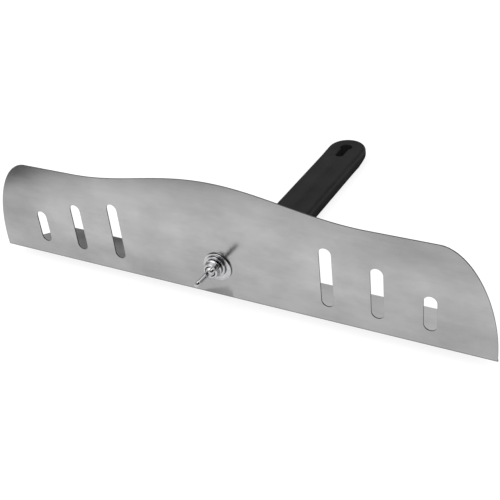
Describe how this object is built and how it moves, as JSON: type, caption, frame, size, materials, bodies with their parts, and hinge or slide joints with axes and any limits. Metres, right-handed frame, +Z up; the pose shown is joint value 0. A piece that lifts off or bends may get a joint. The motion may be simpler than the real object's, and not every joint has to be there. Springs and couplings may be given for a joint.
{
  "type": "steel finishing trowel",
  "caption": "Wide slotted steel face plate with a humped top edge and a folded sole, clamped by a wing nut to a strap with a flat moulded grip.",
  "frame": {"origin": "centre of the sole's flat underside", "axes": "+X along the plate, +Y back along the handle, +Z up; the working face looks towards -Y"},
  "size_m": [0.4508, 0.2956, 0.1129],
  "materials": {
    "face_steel": "satin rolled stainless sheet, fine grain along the blade",
    "strap_steel": "satin flat strip",
    "zinc": "bright zinc plating",
    "grip_plastic": "fine grained black moulding"
  },
  "bodies": {
    "trowel": {"face_plate": "face_steel", "handle_bracket": "strap_steel", "coach_bolt": "zinc", "grip": "grip_plastic", "grip_pin": "strap_steel"},
    "washers": {"fender_washer": "zinc", "spring_washer": "zinc"},
    "wing_nut": {"wing_nut": "zinc"}
  },
  "joints": [
    {"name": "clamp_travel", "type": "slide", "parent": "trowel", "child": "washers", "axis": [0, -1, 0], "range_m": [0, 0.0051]},
    {"name": "wing_nut_spin", "type": "hinge", "parent": "washers", "child": "wing_nut", "pos_m": [0, -0.0255, 0.0299], "axis": [0, -1, 0], "range_deg": [0, 1440]}
  ],
  "couplings": [
    {"joint": "clamp_travel", "follows": "wing_nut_spin", "m_per_rad": 0.00019894}
  ]
}
